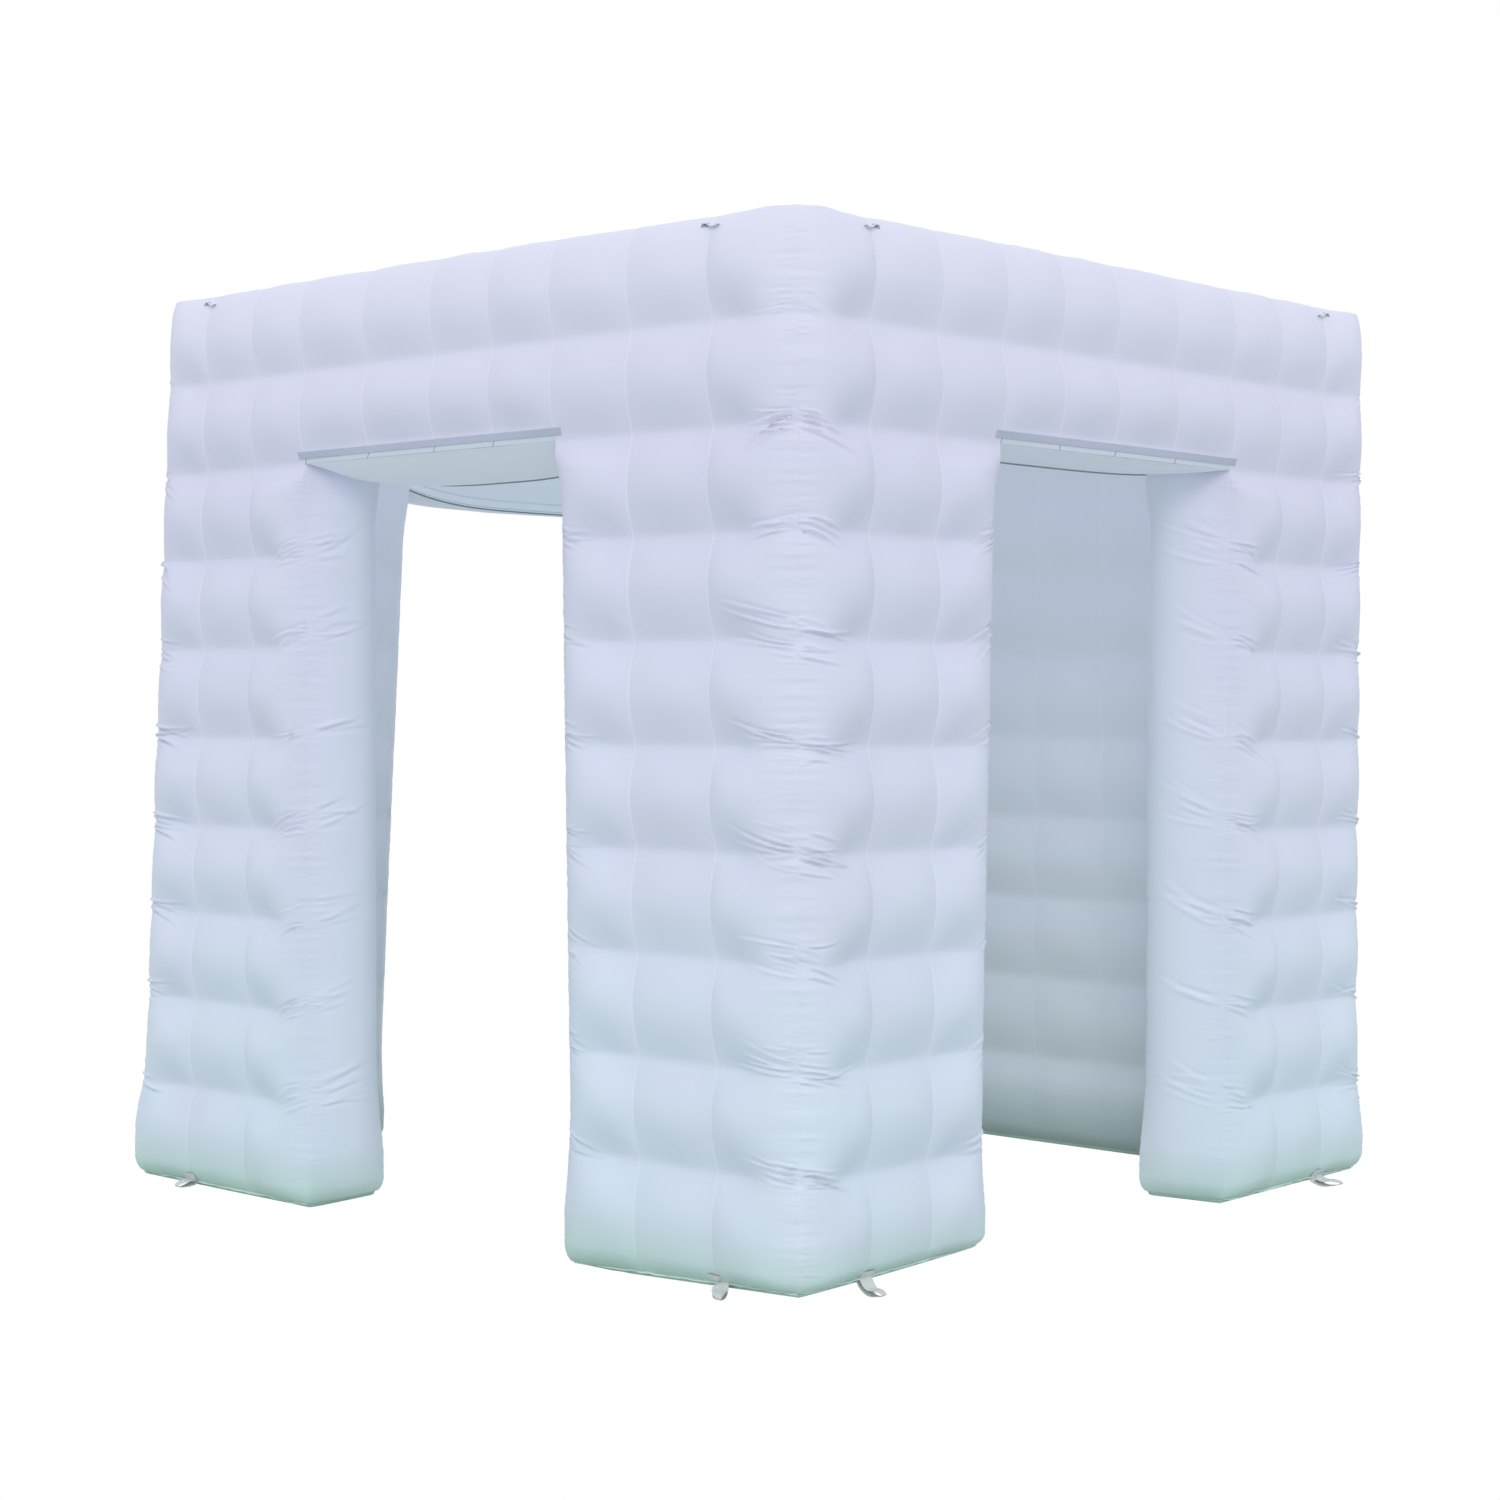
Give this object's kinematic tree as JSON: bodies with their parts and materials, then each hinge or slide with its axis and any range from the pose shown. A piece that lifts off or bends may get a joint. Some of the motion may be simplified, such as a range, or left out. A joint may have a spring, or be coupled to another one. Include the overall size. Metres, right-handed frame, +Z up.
{
  "type": "inflatable photo booth",
  "caption": "Cube of quilted air walls with open doorways on the front and both sides, a closed back, an inflated roof, a built-in blower and a deflation zip.",
  "frame": {"origin": "on the ground, below the middle of the box round the booth", "axes": "+Z up, -Y out of the front doorway, +X towards the right doorway seen from the front, +Y out of the closed back with the blower"},
  "size_m": [2.732, 2.5857, 2.572],
  "materials": {
    "outer_fabric": "coated woven cloth, satin",
    "inner_fabric": "coated woven cloth, satin",
    "ground_sheet": "thick coated cloth, matt",
    "baffle_fabric": "woven cloth, matt",
    "hook_and_loop": "looped pile tape, matt",
    "webbing": "woven webbing, matt",
    "blower_plastic": "fine moulded grain",
    "impeller_plastic": "smooth",
    "rocker_plastic": "gloss",
    "zip_tape": "woven tape with moulded teeth",
    "zip_metal": "tumbled metal"
  },
  "bodies": {
    "booth": {"anchor_loop_back_a": "webbing", "anchor_loop_back_b": "webbing", "anchor_loop_front_a": "webbing", "anchor_loop_front_b": "webbing", "anchor_loop_left_a": "webbing", "anchor_loop_left_b": "webbing", "anchor_loop_right_a": "webbing", "anchor_loop_right_b": "webbing", "baffle_back_roof": "baffle_fabric", "baffle_front": "baffle_fabric", "baffle_left": "baffle_fabric", "baffle_right": "baffle_fabric", "base_back": "ground_sheet", "base_front_left": "ground_sheet", "base_front_right": "ground_sheet", "blower_guard": "blower_plastic", "blower_housing": "blower_plastic", "ceiling": "inner_fabric", "jamb_front_left": "outer_fabric", "jamb_front_right": "outer_fabric", "jamb_left_back": "outer_fabric", "jamb_left_front": "outer_fabric", "jamb_right_back": "outer_fabric", "jamb_right_front": "outer_fabric", "liner_back": "inner_fabric", "liner_front_left": "inner_fabric", "liner_front_lintel": "inner_fabric", "liner_front_right": "inner_fabric", "liner_left_lintel": "inner_fabric", "liner_right_lintel": "inner_fabric", "skin_back": "outer_fabric", "skin_front_left": "outer_fabric", "skin_front_lintel": "outer_fabric", "skin_front_right": "outer_fabric", "skin_left_back": "outer_fabric", "skin_left_front": "outer_fabric", "skin_left_lintel": "outer_fabric", "skin_right_back": "outer_fabric", "skin_right_front": "outer_fabric", "skin_right_lintel": "outer_fabric", "skin_roof": "outer_fabric", "soffit_front": "inner_fabric", "soffit_left": "inner_fabric", "soffit_right": "inner_fabric", "tape_front": "hook_and_loop", "tape_left": "hook_and_loop", "tape_right": "hook_and_loop", "tie_loop_back_a": "webbing", "tie_loop_back_b": "webbing", "tie_loop_front_a": "webbing", "tie_loop_front_b": "webbing", "tie_loop_left_a": "webbing", "tie_loop_left_b": "webbing", "tie_loop_right_a": "webbing", "tie_loop_right_b": "webbing", "zip_chain": "zip_tape"},
    "impeller": {"blower_impeller": "impeller_plastic"},
    "rocker": {"blower_switch": "rocker_plastic"},
    "slider": {"zip_slider": "zip_metal"},
    "pull": {"zip_pull": "zip_metal"}
  },
  "joints": [
    {"name": "impeller_spin", "type": "hinge", "parent": "booth", "child": "impeller", "pos_m": [0.9098, 1.1958, 0.41], "axis": [0, 1, 0], "continuous": true},
    {"name": "rocker_tilt", "type": "hinge", "parent": "booth", "child": "rocker", "pos_m": [0.9968, 1.2651, 0.323], "axis": [1, 0, 0], "range_deg": [0, 16]},
    {"name": "zip_slide", "type": "slide", "parent": "booth", "child": "slider", "axis": [1, 0, 0], "range_m": [0, 0.41]},
    {"name": "pull_swing", "type": "hinge", "parent": "slider", "child": "pull", "pos_m": [-0.6732, 1.266, 0.41], "axis": [0, 0, 1], "range_deg": [0, 176]}
  ]
}
